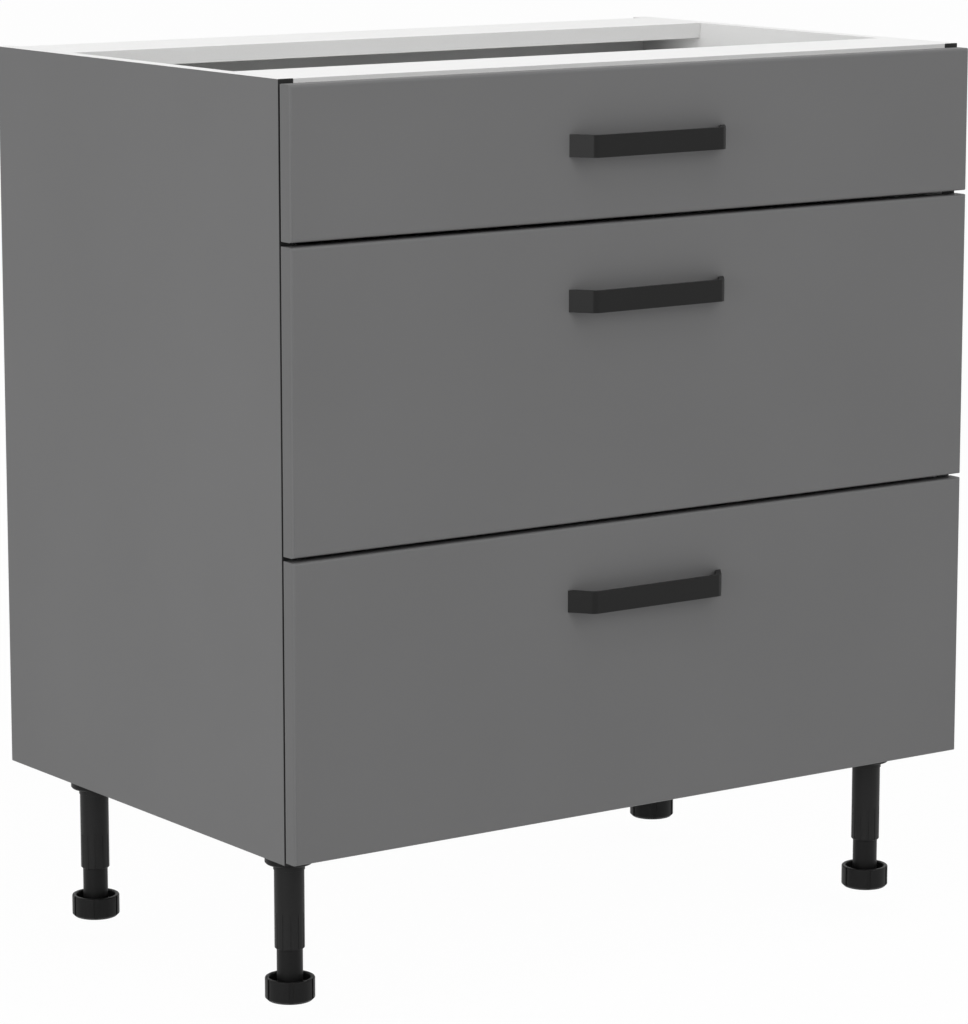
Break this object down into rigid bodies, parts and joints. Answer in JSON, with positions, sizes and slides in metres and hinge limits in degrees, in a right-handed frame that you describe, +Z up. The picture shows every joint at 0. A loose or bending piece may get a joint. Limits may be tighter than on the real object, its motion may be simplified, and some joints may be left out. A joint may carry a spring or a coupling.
{
  "type": "base cabinet with drawers",
  "caption": "Kitchen base cabinet with a shallow drawer over deep ones, full-extension runners, bow handles, open top with rails, on height-adjustable legs.",
  "frame": {"origin": "on the floor, under the middle of the whole cabinet with its handles", "axes": "+X to the cabinet's right as seen by someone facing it, -Y out of the drawer fronts towards that person, +Z up"},
  "size_m": [0.8, 0.55, 0.87],
  "materials": {
    "grey_board": "chipboard, matt grey melamine outside and white inside",
    "grey_front": "fibreboard with a soft matt grey foil and rounded front edges",
    "white_board": "chipboard with white melamine",
    "hardboard": "thin hardboard, white inside and plain brown behind",
    "drawer_board": "drawer board with a white foil",
    "zinc_steel": "bright zinc plating",
    "black_metal": "matt black powder coat on cast zinc",
    "black_plastic": "black moulded plastic, satin"
  },
  "bodies": {
    "carcass": {"side_panel_left": "grey_board", "side_panel_right": "grey_board", "bottom_panel": "white_board", "back_panel": "hardboard", "front_rail": "white_board", "back_rail": "white_board", "leg_plate_front_left": "black_plastic", "leg_tube_front_left": "black_plastic", "leg_plate_front_right": "black_plastic", "leg_tube_front_right": "black_plastic", "leg_plate_back_left": "black_plastic", "leg_tube_back_left": "black_plastic", "leg_plate_back_right": "black_plastic", "leg_tube_back_right": "black_plastic", "top_drawer_runner_cabinet_member_left": "zinc_steel", "top_drawer_runner_cabinet_member_right": "zinc_steel", "middle_drawer_runner_cabinet_member_left": "zinc_steel", "middle_drawer_runner_cabinet_member_right": "zinc_steel", "bottom_drawer_runner_cabinet_member_left": "zinc_steel", "bottom_drawer_runner_cabinet_member_right": "zinc_steel"},
    "top_drawer": {"top_drawer_front": "grey_front", "top_drawer_handle": "black_metal", "top_drawer_handle_screw_left": "zinc_steel", "top_drawer_side_left": "drawer_board", "top_drawer_runner_drawer_member_left": "zinc_steel", "top_drawer_handle_screw_right": "zinc_steel", "top_drawer_side_right": "drawer_board", "top_drawer_runner_drawer_member_right": "zinc_steel", "top_drawer_bottom": "drawer_board", "top_drawer_back": "drawer_board"},
    "top_runner_middle_left": {"top_drawer_runner_middle_member_left": "zinc_steel"},
    "top_runner_middle_right": {"top_drawer_runner_middle_member_right": "zinc_steel"},
    "middle_drawer": {"middle_drawer_front": "grey_front", "middle_drawer_handle": "black_metal", "middle_drawer_handle_screw_left": "zinc_steel", "middle_drawer_side_left": "drawer_board", "middle_drawer_runner_drawer_member_left": "zinc_steel", "middle_drawer_handle_screw_right": "zinc_steel", "middle_drawer_side_right": "drawer_board", "middle_drawer_runner_drawer_member_right": "zinc_steel", "middle_drawer_bottom": "drawer_board", "middle_drawer_back": "drawer_board"},
    "middle_runner_middle_left": {"middle_drawer_runner_middle_member_left": "zinc_steel"},
    "middle_runner_middle_right": {"middle_drawer_runner_middle_member_right": "zinc_steel"},
    "bottom_drawer": {"bottom_drawer_front": "grey_front", "bottom_drawer_handle": "black_metal", "bottom_drawer_handle_screw_left": "zinc_steel", "bottom_drawer_side_left": "drawer_board", "bottom_drawer_runner_drawer_member_left": "zinc_steel", "bottom_drawer_handle_screw_right": "zinc_steel", "bottom_drawer_side_right": "drawer_board", "bottom_drawer_runner_drawer_member_right": "zinc_steel", "bottom_drawer_bottom": "drawer_board", "bottom_drawer_back": "drawer_board"},
    "bottom_runner_middle_left": {"bottom_drawer_runner_middle_member_left": "zinc_steel"},
    "bottom_runner_middle_right": {"bottom_drawer_runner_middle_member_right": "zinc_steel"},
    "foot_front_left": {"leg_foot_front_left": "black_plastic"},
    "foot_front_right": {"leg_foot_front_right": "black_plastic"},
    "foot_back_left": {"leg_foot_back_left": "black_plastic"},
    "foot_back_right": {"leg_foot_back_right": "black_plastic"}
  },
  "joints": [
    {"name": "top_drawer_slide", "type": "slide", "parent": "carcass", "child": "top_drawer", "axis": [0, -1, 0], "range_m": [0, 0.45]},
    {"name": "top_runner_middle_left_slide", "type": "slide", "parent": "carcass", "child": "top_runner_middle_left", "axis": [0, -1, 0], "range_m": [0, 0.225]},
    {"name": "top_runner_middle_right_slide", "type": "slide", "parent": "carcass", "child": "top_runner_middle_right", "axis": [0, -1, 0], "range_m": [0, 0.225]},
    {"name": "middle_drawer_slide", "type": "slide", "parent": "carcass", "child": "middle_drawer", "axis": [0, -1, 0], "range_m": [0, 0.45]},
    {"name": "middle_runner_middle_left_slide", "type": "slide", "parent": "carcass", "child": "middle_runner_middle_left", "axis": [0, -1, 0], "range_m": [0, 0.225]},
    {"name": "middle_runner_middle_right_slide", "type": "slide", "parent": "carcass", "child": "middle_runner_middle_right", "axis": [0, -1, 0], "range_m": [0, 0.225]},
    {"name": "bottom_drawer_slide", "type": "slide", "parent": "carcass", "child": "bottom_drawer", "axis": [0, -1, 0], "range_m": [0, 0.45]},
    {"name": "bottom_runner_middle_left_slide", "type": "slide", "parent": "carcass", "child": "bottom_runner_middle_left", "axis": [0, -1, 0], "range_m": [0, 0.225]},
    {"name": "bottom_runner_middle_right_slide", "type": "slide", "parent": "carcass", "child": "bottom_runner_middle_right", "axis": [0, -1, 0], "range_m": [0, 0.225]},
    {"name": "foot_front_left_height", "type": "slide", "parent": "carcass", "child": "foot_front_left", "axis": [0, 0, -1], "range_m": [-0.02, 0.025]},
    {"name": "foot_front_right_height", "type": "slide", "parent": "carcass", "child": "foot_front_right", "axis": [0, 0, -1], "range_m": [-0.02, 0.025]},
    {"name": "foot_back_left_height", "type": "slide", "parent": "carcass", "child": "foot_back_left", "axis": [0, 0, -1], "range_m": [-0.02, 0.025]},
    {"name": "foot_back_right_height", "type": "slide", "parent": "carcass", "child": "foot_back_right", "axis": [0, 0, -1], "range_m": [-0.02, 0.025]}
  ],
  "couplings": [
    {"joint": "top_runner_middle_left_slide", "follows": "top_drawer_slide", "ratio": 0.5},
    {"joint": "top_runner_middle_right_slide", "follows": "top_drawer_slide", "ratio": 0.5},
    {"joint": "middle_runner_middle_left_slide", "follows": "middle_drawer_slide", "ratio": 0.5},
    {"joint": "middle_runner_middle_right_slide", "follows": "middle_drawer_slide", "ratio": 0.5},
    {"joint": "bottom_runner_middle_left_slide", "follows": "bottom_drawer_slide", "ratio": 0.5},
    {"joint": "bottom_runner_middle_right_slide", "follows": "bottom_drawer_slide", "ratio": 0.5}
  ]
}
